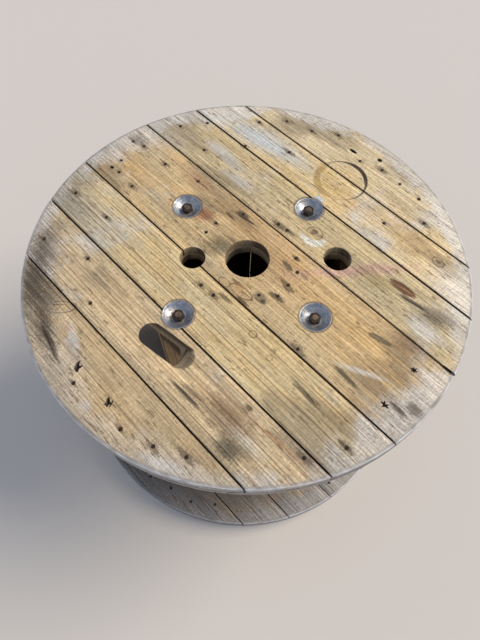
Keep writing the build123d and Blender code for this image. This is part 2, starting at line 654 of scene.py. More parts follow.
class WoodPainter:
    """Paints wood coat by coat, by the patterns that its colour is mixed from.

    Attributes:
        wood: The finish that it paints.
        add: The function that adds nodes.
        place: The place on the drum.
        own_place: The same, moved for each board so that no two boards match.
        flat: The place without its height.
        reach: The distance from the arbor's axis in metres.
        height: The height in metres.
        ring: The dark lines of the growth rings.
        fibres: Fine, long fibres.
        streaks: Coarser streaks.
        patches: Patches as wide as a hand.
        clouds: Large clouds with ragged edges.
        speckle: Grit.
        ragged: What frays the edge of a stain, between about -1 and 1.
        colour: The colour so far.
    """

    def __init__(self, wood: SawnPine, add: Adder) -> None:
        """Draw the patterns of the wood and mix its own colour.

        Args:
            wood: The finish that it paints.
            add: The function that adds nodes.
        """
        self.wood, self.add = wood, add
        self.place = add("TexCoord", out="Object")
        pith = add("Attribute", attribute_name="pith", out="Vector")
        self.own_place = add("VectorMath", pith, (7.0, 7.0, 7.0), self.place, operation="MULTIPLY_ADD")
        self.flat = add("VectorMath", self.place, (1.0, 1.0, 0.0), operation="MULTIPLY")
        self.reach = add("VectorMath", self.flat, operation="LENGTH")
        self.height = add("SeparateXYZ", self.place, out="Z")
        self.ring = self.growth_rings(pith)
        self.fibres = self.noise(self.own_place, Pattern(1 / (wood.fibre_mm * MM), 14.0, 3.0))
        self.streaks = self.noise(self.own_place, STREAKS)
        self.patches = self.noise(self.own_place, PATCHES)
        self.clouds = add("TexNoise", self.place, Scale=7.0, Detail=7.0, Roughness=0.62)
        self.speckle = add("TexNoise", self.place, Scale=300.0, Detail=3.0)
        self.ragged = add("Math", self.streaks, 1.1, -0.55, operation="MULTIPLY_ADD")
        for pattern, weight in ((self.speckle, 0.8), (self.patches, 0.9)):
            centred = add("Math", pattern, weight, -weight / 2, operation="MULTIPLY_ADD")
            self.ragged = add("Math", self.ragged, centred, operation="ADD")

        tone = add("Attribute", attribute_name="tone", out="Fac")
        warm = add("MapRange", self.patches, 0.32, 0.68, 0.15, 1.0, **SMOOTH)
        warm = add("Math", tone, warm, operation="MULTIPLY")
        self.colour = add("Mix", warm, linear(wood.early), linear(wood.amber), **COLOUR)

    def stretched(self, place: Socket, across: float, along: float) -> Socket:
        """Scale a place by one number across the grain and another along it."""
        scale = [across] * 3
        scale[self.wood.grain.value] = along
        return self.add("VectorMath", place, scale, operation="MULTIPLY")

    def noise(self, place: Socket, pattern: Pattern, out: str | None = None) -> Socket:
        """Add a noise that is drawn out along the grain."""
        vector = self.stretched(place, pattern.across, pattern.along)
        return self.add("TexNoise", vector, Scale=1.0, Detail=pattern.detail, Roughness=0.55, out=out)

    def growth_rings(self, pith: Socket) -> Socket:
        """Draw growth rings round the pith, nearly straight where it lies beside the board.

        Args:
            pith: Where the board's pith lies.

        Returns:
            How dark the rings make the wood, from 0 to 1.
        """
        add = self.add
        wander = self.noise(self.own_place, RING_WANDER, "Color")
        wander = add("VectorMath", wander, (0.5, 0.5, 0.5), operation="SUBTRACT")
        wander = add("VectorMath", wander, operation="SCALE", Scale=14 * MM)
        from_pith = add("VectorMath", self.place, pith, operation="SUBTRACT")
        from_pith = add("VectorMath", from_pith, wander, operation="ADD")
        radius = add("VectorMath", self.stretched(from_pith, 1.0, 0.012), operation="LENGTH")
        count = add("Math", radius, self.wood.ring_mm * MM, operation="DIVIDE")
        drift = add("TexNoise", noise_dimensions="1D", W=count, Scale=0.19, Detail=2.0)
        count = add("Math", drift, 3.0, count, operation="MULTIPLY_ADD")
        in_ring = add("Math", count, operation="FRACT")
        rising = add("MapRange", in_ring, 0.58, 0.82, **SMOOTH)
        falling = add("MapRange", in_ring, 0.88, 0.98, 1.0, 0.0, **SMOOTH)
        ring = add("Math", rising, falling, operation="MULTIPLY")
        year = add("TexWhiteNoise", noise_dimensions="1D", W=add("Math", count, operation="FLOOR"))
        return add("Math", ring, add("MapRange", year, 0.0, 1.0, 0.2, 1.0, **SMOOTH), operation="MULTIPLY")

    def on_mark(self, mark: Mark) -> Socket:
        """Turn the place into the space of a mark, where its edge is a unit circle.

        Args:
            mark: The mark.

        Returns:
            The place in the mark's space.
        """
        return self.add(
            "Mapping",
            self.place,
            vector_type="TEXTURE",
            Location=(mark.x * MM, mark.y * MM, HEIGHT * MM),
            Rotation=(0, 0, math.radians(mark.turn)),
            Scale=(mark.long * MM, mark.wide * MM, BOARD * MM),
        )

    def lay(self, share: Socket, colour: str, **blending: str) -> None:
        """Lay a colour over the wood by a share."""
        self.colour = self.add("Mix", share, self.colour, linear(colour), **(blending or COLOUR))

    def vary(
        self,
        pattern: Socket,
        dark: float,
        light: float,
        share: object = 1.0,
        spread: Point = (0.3, 0.7),
    ) -> None:
        """Let a noise darken and lighten the colour.

        Args:
            pattern: The noise.
            dark: What the colour is multiplied by where the noise is low.
            light: What it is multiplied by where the noise is high.
            share: How far it is let, from 0 to 1.
            spread: Which values of the noise count as low and as high.
        """
        level = self.add("MapRange", pattern, *spread, dark, light, **SMOOTH)
        grey = self.add("CombineXYZ", level, level, level)
        self.colour = self.add("Mix", share, self.colour, grey, **TINT)

    def weather(self) -> None:
        """Lay dark grime over the wood in patches, and grey where it is worn."""
        add = self.add
        near_rim = add("MapRange", self.reach, 0.26, 0.4, **SMOOTH)
        shifted = add("VectorMath", self.place, (3.1, 1.7, 0.4), operation="ADD")
        grime = add("Math", near_rim, 0.08, self.noise(shifted, GRIME), operation="MULTIPLY_ADD")
        dirty = add("MapRange", grime, 0.53, 0.66, **SMOOTH)
        streaky = add("MapRange", self.streaks, 0.35, 0.6, 0.25, 1.0, **SMOOTH)
        dirty = add("Math", dirty, streaky, operation="MULTIPLY")
        self.lay(add("Math", dirty, 0.8 * self.wood.greying, operation="MULTIPLY"), self.wood.grime)

        by_rim = add("MapRange", self.reach, 0.345, 0.395, **SMOOTH)
        worn = add("Math", near_rim, 0.1, self.clouds, operation="MULTIPLY_ADD")
        worn = add("Math", by_rim, 0.13, worn, operation="MULTIPLY_ADD")
        pale = add("MapRange", worn, 0.56, 0.7, **SMOOTH)
        gritty = add("MapRange", self.speckle, 0.35, 0.55, 0.7, 1.0, **SMOOTH)
        pale = add("Math", pale, gritty, operation="MULTIPLY")
        self.lay(add("Math", pale, 0.85 * self.wood.greying, operation="MULTIPLY"), self.wood.grey)

    def grain(self) -> None:
        """Let the rings, the fibres and the marks of the saw show through the weathering."""
        self.lay(self.add("Math", self.ring, self.wood.lines, operation="MULTIPLY"), self.wood.late, **TINT)
        self.vary(self.fibres, 0.76, 1.2)
        self.vary(self.streaks, 0.87, 1.11)
        self.vary(self.noise(self.own_place, SAW_MARKS), 0.89, 1.09)
        self.vary(self.speckle, 0.87, 1.12, spread=(0.32, 0.68))

    def stain(self) -> None:
        """Lay the stains over the wood."""
        add = self.add
        for stain in self.wood.stains:
            size = add("VectorMath", self.on_mark(stain), operation="LENGTH")
            size = add("Math", self.ragged, 0.2 + 0.8 * stain.soft, size, operation="MULTIPLY_ADD")
            edge = (1.0 - stain.soft, 1.0 + 0.35 * stain.soft)
            self.lay(add("MapRange", size, *edge, stain.strength, 0.0, **SMOOTH), stain.colour)

    def draw_arcs(self) -> None:
        """Draw the arc-shaped marks over the wood."""
        add = self.add
        for mark in self.wood.rings:
            mapped = self.on_mark(mark)
            size = add("VectorMath", mapped, operation="LENGTH")
            wander = add("Math", self.patches, 0.08, -1.04, operation="MULTIPLY_ADD")
            off_line = add("Math", add("Math", size, wander, operation="ADD"), operation="ABSOLUTE")
            off_line = add("Math", off_line, math.sqrt(mark.long * mark.wide), operation="MULTIPLY")
            parts = add("SeparateXYZ", mapped).node.outputs
            turn = add("Math", parts["Y"], parts["X"], operation="ARCTAN2")
            turn = add("Math", turn, math.radians(mark.start), operation="SUBTRACT")
            turn = add("Math", turn, math.pi, -math.pi, operation="WRAP")
            turn = add("Math", turn, operation="ABSOLUTE")
            reach = math.radians(mark.reach)
            fading = add("MapRange", turn, reach * 0.3, reach, 1.0, 0.0, **SMOOTH)
            width = add("Math", fading, mark.line * 0.7, mark.line * 0.3, operation="MULTIPLY_ADD")
            line = add("Math", off_line, width, operation="DIVIDE")
            line = add("MapRange", line, 0.5, 1.1, mark.strength, 0.0, **SMOOTH)
            self.lay(add("Math", line, fading, operation="MULTIPLY"), mark.colour)

    def soil(self) -> None:
        """Darken the wood round its nails, along its seams and in its pores."""
        add, wood = self.add, self.wood
        if wood.nails:
            rng = random.Random(5)
            drawn_out = self.stretched(self.place, 1.0, NAIL_STREAK)
            nearest: object = 1.0
            for x, y in wood.nails:
                point = [x * MM, y * MM, HEIGHT * MM]
                point[wood.grain.value] *= NAIL_STREAK
                away = add("VectorMath", drawn_out, point, operation="DISTANCE")
                away = add("Math", away, rng.uniform(-0.006, 0.002), operation="SUBTRACT")
                nearest = add("Math", away, nearest, operation="MINIMUM")
            frayed = add("Math", self.ragged, 0.011, nearest, operation="MULTIPLY_ADD")
            self.lay(add("MapRange", frayed, 0.001, 0.0065, 0.7, 0.0, **SMOOTH), wood.nail_rust)
        if wood.seams:
            across = add("SeparateXYZ", self.place, out="Y")
            nearest = 1.0
            for seam in wood.seams:
                away = add("Math", across, seam * MM, operation="SUBTRACT")
                away = add("Math", away, operation="ABSOLUTE")
                nearest = add("Math", away, nearest, operation="MINIMUM")
            frayed = add("Math", self.ragged, 0.004, nearest, operation="MULTIPLY_ADD")
            self.lay(add("MapRange", frayed, 0.0005, 0.004, 0.6, 0.0, **SMOOTH), wood.dirt_and_shade)
        pores = self.noise(self.own_place, PORES)
        self.lay(add("MapRange", pores, 0.6, 0.68, 0.0, 0.7, **SMOOTH), wood.pore)

    def edge(self) -> None:
        """Colour the walls of the cuts, the end grain and the weathered rim, whose rounded edges also get a
        painted highlight.
        """
        add, wood = self.add, self.wood
        parts = add("SeparateXYZ", add("TexCoord", out="Normal")).node.outputs
        on_rim = add("MapRange", self.reach, 0.3912, 0.3945, **SMOOTH)
        off_rim = add("Math", 1.0, on_rim, operation="SUBTRACT")
        wall = add("Math", parts[1 - min(wood.grain.value, 1)], operation="ABSOLUTE")
        wall = add("MapRange", wall, 0.7, 0.95, 0.0, 0.85, **SMOOTH)
        self.lay(add("Math", wall, off_rim, operation="MULTIPLY"), wood.dirt_and_shade)
        end_grain = add("Math", parts[wood.grain.value], operation="ABSOLUTE")
        end_grain = add("MapRange", end_grain, 0.25, 0.75, 0.0, 0.55, **SMOOTH)
        self.lay(add("Math", end_grain, off_rim, operation="MULTIPLY"), wood.grime)
        if wood.grain is Grain.Z:
            return

        weathered = add("MapRange", self.clouds, 0.3, 0.6, 0.4, 0.8, **SMOOTH)
        self.lay(add("Math", on_rim, weathered, operation="MULTIPLY"), wood.sawn_end)
        # The rim's rounded edges go pale bluish white: partly wear, partly a painted highlight.
        slope = add("Math", parts["Z"], operation="ABSOLUTE")
        arris = add("MapRange", slope, 0.2, 0.45, **SMOOTH)
        short_of_face = add("MapRange", slope, 0.8, 0.98, 0.75, 0.0, **SMOOTH)
        arris = add("Math", arris, short_of_face, operation="MULTIPLY")
        self.lay(add("Math", arris, on_rim, operation="MULTIPLY"), wood.rubbed)
        squashed = add("VectorMath", self.place, (60.0, 60.0, 420.0), operation="MULTIPLY")
        self.vary(add("TexNoise", squashed, Scale=1.0, Detail=4.0), 0.72, 1.16, on_rim)
        off_joints = []
        for level in (BOARD, HEIGHT - BOARD):
            away = add("Math", self.height, level * MM, operation="SUBTRACT")
            off_joints.append(add("Math", away, operation="ABSOLUTE"))
        joint = add("Math", *off_joints, operation="MINIMUM")
        joint = add("MapRange", joint, 0.0006, 0.0022, 0.8, 0.0, **SMOOTH)
        self.lay(add("Math", joint, on_rim, operation="MULTIPLY"), wood.dirt_and_shade)

    def shade(self) -> None:
        """Paint shade: darken the upper ends of the staves, and the lower flange round the barrel, which the
        upper flange shades.
        """
        add, wood = self.add, self.wood
        if wood.grain is Grain.Z:
            # Painted shade: the staves go dark towards their upper ends, under the upper flange.
            level = add("Math", self.ragged, 0.02, self.height, operation="MULTIPLY_ADD")
            self.lay(add("MapRange", level, 0.425, 0.455, 0.0, 0.85, **SMOOTH), wood.stave_top_shade)
        # Painted shade on the lower flange round the barrel, where the upper flange shades it.
        if wood.core:
            away = add("VectorMath", self.flat, SHADE_MIDDLE, operation="DISTANCE")
            away = add("Math", self.ragged, 0.05, away, operation="MULTIPLY_ADD")
            self.lay(add("MapRange", away, 0.24, 0.39, wood.core, 0.0, **SMOOTH), wood.shade)


@dataclass(frozen=True)
class GalvanisedSteel:
    """Pressed steel with a zinc coat: bright, with faint crystals and dull grey patches.

    Attributes:
        name: The name of the material.
        bright: The zinc where it is clean.
        dull: The zinc where it has weathered.
        rust: The stain that runs down from the nut.
        dross: The grey-brown specks of dirt and dross in the coat.
        crystal_mm: The size of a zinc crystal.
    """

    name: str = "galvanised_pressed_steel"
    bright: str = "#c4c8cc"
    dull: str = "#8f99aa"
    rust: str = "#8a5f3c"
    dross: str = "#5d5850"
    crystal_mm: float = 5.0

    def build(self) -> bpy.types.Material:
        """Make the material.

        Returns:
            The material.
        """
        material, shader, add = new_material(self.name)
        place = add("TexCoord", out="Object")
        crystal = add("TexVoronoi", place, Scale=1 / (self.crystal_mm * MM), out="Color")
        crystal = add("SeparateColor", crystal)
        cloud = add("TexNoise", place, Scale=90.0, Detail=4.0)
        grit = add("TexNoise", place, Scale=420.0, Detail=3.0)
        clean = add("Math", crystal, 0.1, cloud, operation="MULTIPLY_ADD")
        clean = add("MapRange", clean, 0.38, 0.7, **SMOOTH)
        colour = add("Mix", clean, linear(self.dull), linear(self.bright), **COLOUR)
        specks = add("MapRange", grit, 0.52, 0.66, 0.0, 0.55, **SMOOTH)
        colour = add("Mix", specks, colour, linear(self.dross), **COLOUR)
        rusty = add("MapRange", cloud, 0.52, 0.66, **SMOOTH)
        rusty = add("Math", rusty, add("MapRange", grit, 0.4, 0.6, **SMOOTH), operation="MULTIPLY")
        share = add("Math", rusty, 0.8, operation="MULTIPLY")
        colour = add("Mix", share, colour, linear(self.rust), **COLOUR)
        metal = add("MapRange", clean, 0.0, 1.0, 0.62, 0.95, **SMOOTH)
        bare = add("Math", rusty, -0.8, 1.0, operation="MULTIPLY_ADD")
        rough = add("MapRange", cloud, 0.35, 0.7, 0.3, 0.46, **SMOOTH)
        adjust(
            shader,
            Base_Color=colour,
            Metallic=add("Math", metal, bare, operation="MULTIPLY"),
            Roughness=add("Math", crystal, 0.06, rough, operation="MULTIPLY_ADD"),
            Normal=add("Bump", Strength=0.3, Distance=0.15 * MM, Height=grit),
        )
        return material


@dataclass(frozen=True)
class RustedSteel:
    """Plain steel left bare: dark, matt, with brown and orange rust.

    Attributes:
        name: The name of the material.
        dark: The steel under the rust.
        brown: The settled rust.
        orange: The fresh rust.
        grain_mm: The size of the rust's grain, drawn coarser than it is.
    """

    name: str
    dark: str
    brown: str
    orange: str
    grain_mm: float = 1.6

    def build(self) -> bpy.types.Material:
        """Make the material.

        Returns:
            The material.
        """
        material, shader, add = new_material(self.name)
        place = add("TexCoord", out="Object")
        grain = add("TexNoise", place, Scale=1 / (self.grain_mm * MM), Detail=4.0)
        cloud = add("TexNoise", place, Scale=120.0, Detail=3.0)
        settled = add("MapRange", cloud, 0.38, 0.62, **SMOOTH)
        colour = add("Mix", settled, linear(self.dark), linear(self.brown), **COLOUR)
        fresh = add("MapRange", grain, 0.52, 0.72, **SMOOTH)
        adjust(
            shader,
            Base_Color=add("Mix", fresh, colour, linear(self.orange), **COLOUR),
            Metallic=0.35,
            Roughness=add("MapRange", cloud, 0.3, 0.7, 0.5, 0.8, **SMOOTH),
            Normal=add("Bump", Strength=0.5, Distance=0.3 * MM, Height=grain),
        )
        return material


@dataclass(frozen=True)
class Gouge(Mark):
    """A hollow that something has torn out of the upper face.

    Attributes:
        depth: How deep it is.
    """

    depth: float

    def tool(self) -> Solid:
        """Shape the cutter for it: a squashed and turned cone with an uneven edge.

        Returns:
            The cutter.
        """
        section = ((1.25, -1.0), (1.0, 0.2), (0.75, self.depth * 0.8), (0.3, self.depth))
        tool = turned("gouge", [(share, HEIGHT - deep) for share, deep in section], 14)
        with edit_mode(tool):
            bpy.ops.transform.resize(value=(self.long, self.wide, 1), center_override=(0, 0, 0))
            bpy.ops.transform.vertex_random(offset=0.55 * MM, seed=int(self.x * self.x + self.y) % 997)
        turn = Matrix.Rotation(math.radians(self.turn), 4, "Z")
        tool.matrix_world = Matrix.Translation((self.x * MM, self.y * MM, 0)) @ turn
        return settle(tool, "gouge")

    def dirt_and_shade(self) -> Stain:
        """The painted shade in its hollow, darker the deeper it is."""
        share = min(self.depth / 4.0, 1.0)
        return Stain(self.x, self.y, self.long * 1.05, self.wide * 1.05, self.turn, "#1b1511", share, 0.25)


# Marks on the upper face, in millimetres from the arbor's axis

FACE_NAILS: tuple[Point, ...] = (
    (-342, 39), (-368, 32), (-275, 39), (-275, -45), (-343, -18), (-335, 131), (-250, 121),
    (-303, 178), (-201, 190), (-230, 260), (-192, 305), (-136, 322), (-90, 353), (-127, 243),
    (-12, 330), (34, 343), (81, 340), (130, 336), (172, 296), (120, 241),
    (184, -65), (-94, -15), (-97, 13), (-77, 64), (-15, 95), (60, 64), (-16, -98),
    (14, -96), (68, -39), (92, -17), (89, 12), (-20, -363), (89, -355), (143, -336), (189, -311),
    (-336, -134), (-248, -127), (-196, -207), (-119, -258), (-286, -239), (-321, -41),
    (344, -130), (310, -187), (-196, 57), (82, 43), (6, 97),
)

FACE_GOUGES: tuple[Gouge, ...] = (
    Gouge(-38, -343, 9.0, 3.8, 138, 5.0), Gouge(-36, -342, 7.0, 2.4, 72, 5.0),
    Gouge(-41, -341, 8.0, 2.0, 108, 5.0), Gouge(42, -343, 8.5, 3.2, 130, 5.0),
    Gouge(44, -345, 5.5, 2.2, 60, 5.0), Gouge(48, -341, 6.5, 1.5, 112, 4.0),
    Gouge(-39, 341, 9.0, 3.4, 2, 4.0), Gouge(14, 361, 5.2, 4.4, 0, 5.0),
    Gouge(-341, -43, 5.0, 3.6, 0, 4.5), Gouge(338, 43, 6.5, 1.6, 8, 5.0),
    Gouge(338, 43, 6.0, 1.5, 68, 5.0), Gouge(338, 43, 5.5, 1.5, 128, 5.0),
    Gouge(342, -37, 8.0, 1.9, -2, 5.0), Gouge(343, -37, 6.0, 1.6, 60, 5.0),
    Gouge(340, -36, 5.5, 1.7, 118, 5.0), Gouge(231, 152, 27.0, 7.5, 3, 1.6),
    Gouge(262, 141, 22.0, 1.4, 9, 1.2), Gouge(-114, -348, 38.0, 1.0, -14, 1.2),
    Gouge(118, -248, 30.0, 1.3, 2, 1.0), Gouge(-152, -297, 16.0, 0.8, 46, 0.7),
    Gouge(252, -112, 14.0, 1.2, -6, 1.0), Gouge(43, 130, 8.5, 7.0, 0, 1.8),
    Gouge(384, 83.2, 24.0, 2.6, 3, 9.0),
)

FACE_STAINS: tuple[Stain, ...] = (
    Stain(-250, -150, 130, 50, 8, "#b9b4a4", 0.4, 1.0),
    Stain(-330, 90, 60, 50, 0, "#c9c6bb", 0.5, 1.0),
    Stain(-190, 228, 120, 32, 10, "#ccd6dd", 0.85, 0.9),
    Stain(-198, 143, 55, 17, -5, "#c6c9c5", 0.65, 0.9),
    Stain(-365, 47, 26, 14, 0, "#6d6458", 0.6, 0.9),
    Stain(-84, -318, 34, 10, -25, "#d8d6cf", 0.75),
    Stain(10, 40, 150, 70, 0, "#d3a670", 0.45, 1.0),
    Stain(210, 20, 110, 60, -20, "#dcb476", 0.45, 1.0),
    Stain(160, 250, 120, 40, 0, "#e3bf7e", 0.45, 1.0),
    Stain(-262, -248, 52, 30, -30, "#857a6b", 0.7, 0.9),
    Stain(-318, -150, 60, 34, -10, "#aaa396", 0.6, 0.9),
    Stain(-83, -322, 12, 5, 40, "#dcdad4", 0.7),
    Stain(23, -370, 12, 8, 0, "#d5d2cb", 0.6),
    Stain(176, -343, 50, 13, 24, "#d2cec6", 0.6),
    Stain(227, -318, 34, 12, 35, "#cfc9bd", 0.5),
    Stain(-103, -313, 9, 7, 0, "#c9a091", 0.5),
    Stain(43, 130, 10, 8, 0, "#6f5a48", 0.85, 0.5),
    Stain(231, 152, 30, 9.0, 4, "#6f4732", 0.95, 0.25),
    # A painted highlight: a pale line inside the leaf-shaped gouge.
    Stain(236, 154, 18, 1.6, 4, "#b98a5c", 0.8, 0.3),
    Stain(226, 148, 16, 1.4, 7, "#4d3125", 0.8, 0.4),
    Stain(262, 142, 34, 5, 8, "#4a3f36", 0.8, 0.5),
    Stain(300, 132, 40, 18, 12, "#7b7366", 0.6, 0.9),
    Stain(304, 228, 78, 34, 12, "#e8e2d2", 0.85, 0.9),
    Stain(310, 111, 40, 18, 5, "#e2dfd6", 0.75, 0.8),
    Stain(340, 190, 50, 34, 20, "#e2ddcf", 0.6, 1.0),
    Stain(265, 46, 25, 6, 12, "#5f5643", 0.9, 0.3),
    Stain(264, 46, 20, 3.6, 12, "#877b62", 0.8, 0.3),
    Stain(-5, 262, 44, 44, 0, "#d9b66a", 0.3, 0.4),
    Stain(150, 120, 120, 15, 50, "#d3a79d", 0.75, 0.9),
    Stain(-3, 196, 12, 7, 0, "#c6d6e2", 0.95, 0.4),
    Stain(187, -212, 62, 20, 4, "#86694f", 0.6, 0.9),
    Stain(118, -248, 42, 5, 2, "#4e453b", 0.8, 0.6),
    Stain(224, -256, 24, 17, 10, "#78715f", 0.6, 0.9),
    Stain(230, -232, 46, 11, 4, "#c2beb4", 0.6, 0.8),
    Stain(274, -197, 58, 2.2, 4, "#b8803f", 0.7, 0.6),
    Stain(200, -192, 8, 5, 0, "#5f4a38", 0.85, 0.5),
    Stain(358, -27, 22, 9, -8, "#6f675b", 0.7, 0.8),
    Stain(379, -8, 16, 8, 0, "#756d62", 0.65, 0.8),
    Stain(357, -92, 34, 14, 6, "#d3cfc5", 0.7, 0.8),
    Stain(283, -20, 44, 6, 25, "#dedacf", 0.8, 0.7),
    Stain(276, -90, 20, 8, 0, "#bdb7a8", 0.5, 0.8),
    Stain(-76, 61, 17, 7, 3, "#4f4438", 0.9, 0.5),
    Stain(-62, 60, 22, 3, 6, "#453b32", 0.9, 0.4),
    Stain(-93, 44, 13, 3.5, -4, "#5b4c3c", 0.85, 0.4),
    Stain(-8, 92, 20, 4, 0, "#5a4a3b", 0.75, 0.6),
    Stain(12, 97, 16, 3, 0, "#4d4034", 0.75, 0.6),
    Stain(61, 40, 16, 5.5, -8, "#655a43", 0.85, 0.35),
    Stain(62, 62, 9, 4.5, 0, "#54483a", 0.8, 0.4),
    Stain(89, 10, 22, 5, -6, "#6a6048", 0.8, 0.35),
    Stain(91, 4, 12, 2, -6, "#4b4131", 0.85, 0.4),
    Stain(92, -20, 18, 5.5, 8, "#6b5940", 0.85, 0.35),
    Stain(90, -17, 6, 2.5, 0, "#3f3428", 0.9, 0.4),
    Stain(73, -41, 15, 9, -6, "#6d6553", 0.75, 0.5),
    Stain(82, -43, 6, 4, 0, "#4a4034", 0.85, 0.4),
    Stain(97, 45, 11, 5, -8, "#8a7360", 0.7, 0.6),
    Stain(25, -49, 18, 3.5, 6, "#7a5a41", 0.8, 0.4),
    Stain(40, -52, 17, 7, 6, "#d9b176", 0.6, 0.4),
    Stain(57, -68, 16, 4, 0, "#6a4c38", 0.8, 0.5),
    Stain(32, -85, 22, 5, 3, "#5d4f3f", 0.8, 0.5),
    Stain(-52, -14, 40, 26, 30, "#71694f", 0.9, 0.9),
    Stain(-131, 9, 30, 18, 30, "#9c6240", 0.8, 0.8),
    Stain(-196, 57, 44, 18, 4, "#b07c4e", 0.5, 0.9),
    Stain(-235, 143, 34, 13, 4, "#dcdad4", 0.6, 0.8),
    Stain(-141, 117, 50, 13, 3, "#c8ccce", 0.6, 0.9),
    Stain(-222, -302, 92, 28, -38, "#575044", 0.9, 0.8),
    Stain(-286, -236, 34, 20, -48, "#6a6152", 0.6, 0.9),
    Stain(-136, -351, 46, 13, -22, "#6a6052", 0.6, 0.8),
    Stain(123, -237, 34, 6, 6, "#5f5243", 0.7, 0.6),
    Stain(178, -232, 52, 22, 5, "#7a6148", 0.6, 0.7),
    Stain(224, -258, 26, 14, 10, "#5b5446", 0.75, 0.8),
    Stain(307, 152, 36, 15, 12, "#6f6153", 0.65, 0.8),
    Stain(301, 70, 44, 22, 10, "#86684c", 0.6, 0.9),
    Stain(377, -12, 15, 11, 0, "#6a6258", 0.7, 0.7),
    Stain(362, -28, 20, 5, -4, "#5c5346", 0.75, 0.5),
    Stain(270, -45, 26, 4.5, -4, "#5e523f", 0.85, 0.4),
    Stain(246, -113, 36, 5, -6, "#615641", 0.75, 0.5),
    Stain(339, -130, 14, 3, 0, "#54483a", 0.8, 0.5),
    Stain(171, -344, 46, 9, 24, "#dddbd5", 0.7, 0.8),
    Stain(55, -172, 34, 14, 6, "#8d7f66", 0.5, 0.9),
    Stain(242, 243, 6, 4, 0, "#6d5442", 0.8, 0.5),
    Stain(320, -180, 60, 30, 12, "#9a9081", 0.5, 1.0),
    Stain(-182, -302, 62, 28, -20, "#575044", 0.8, 0.9),
    Stain(-136, -338, 66, 15, -24, "#5b5347", 0.8, 0.8),
    Stain(-104, -349, 44, 6, -14, "#453c33", 0.8, 0.5),
    Stain(326, 212, 74, 32, 8, "#efe9dc", 0.85, 0.6),
    Stain(224, 314, 96, 18, -36, "#e8e4d8", 0.85, 0.6),
    Stain(196, 335, 60, 11, -28, "#dcd7ca", 0.7, 0.8),
    Stain(60, 383, 100, 14, -8, "#d2cdc0", 0.8, 0.9),
    Stain(-368, 122, 52, 14, 70, "#dad6cc", 0.8, 0.8),
    Stain(-391, 10, 52, 12, 90, "#d6d2c8", 0.8, 0.8),
    Stain(192, 133, 46, 22, 4, "#a3905e", 0.5, 0.9),
)

FACE_RINGS: tuple[RingMark, ...] = (
    # The first four are painted shade: a dark ring in the seam round each washer's recess.
    RingMark(164, 0, 29, 29, 0, 1.8, 30, 300, "#4c4238", 0.55),
    RingMark(0, 164, 29, 29, 0, 1.8, 100, 300, "#4c4238", 0.55),
    RingMark(-164, 0, 29, 29, 0, 1.8, 60, 300, "#4c4238", 0.55),
    RingMark(0, -164, 29, 29, 0, 1.8, 20, 300, "#4c4238", 0.55),
    RingMark(-5, 263, 49.5, 49.5, 0, 5.0, 72, 70, "#241d19", 1.0),
    RingMark(-5, 263, 50, 50, 0, 2.2, 60, 150, "#4a3d32", 0.85),
    RingMark(-5, 263, 48, 48, 0, 8.0, 225, 100, "#a8873c", 0.6),
    RingMark(-147, -299, 25, 11, 46, 1.8, 30, 260, "#6e665d", 0.75),
    RingMark(46, 129, 25, 22, 0, 9.0, -60, 95, "#e3e6da", 1.0),
    RingMark(46, 129, 16, 13, 0, 2.0, 100, 200, "#6b5a48", 0.6),
    RingMark(242, 243, 12, 8, -10, 1.8, 0, 300, "#70604f", 0.8),
    RingMark(42, -57, 24, 9, 6, 1.8, 40, 300, "#7e5f47", 0.75),
    RingMark(8, -64, 12, 7, 0, 1.6, 200, 300, "#7e5f47", 0.6),
    RingMark(114, -99, 7, 6, 0, 1.5, 0, 300, "#7c6746", 0.75),
    RingMark(163, -110, 5, 5, 0, 1.4, 0, 300, "#7c6746", 0.6),
)

FACE_SEAMS: tuple[float, ...] = (-281.5, -177.5, -72.5, 82.5, 187.5, 273.5)

# Each board of the upper face: its pale and its warm colour, how grey it is and how clear its lines are
FACE_TINTS: tuple[tuple[str, str, float, float], ...] = (
    ("#ccb892", "#d6b382", 0.35, 0.6),
    ("#d8c6a2", "#dfc092", 0.8, 0.85),
    ("#d8caa4", "#ddc28c", 0.75, 0.85),
    ("#d4c199", "#dfb97d", 0.85, 0.5),
    ("#d5c69f", "#dfc087", 0.8, 0.55),
    ("#e2d4b0", "#e8ca90", 0.9, 0.45),
    ("#e3d4b0", "#e8c88f", 0.85, 0.5),
)


# Sub-assemblies

# Section of a washer's recess, as radius and depth below the face in millimetres
DISH_RECESS: tuple[Point, ...] = (
    (27.8, -5.0), (27.8, 0.5), (26.4, 3.0), (23.5, 5.6), (19.5, 8.7), (16.0, 10.9), (12.3, 12.5),
)


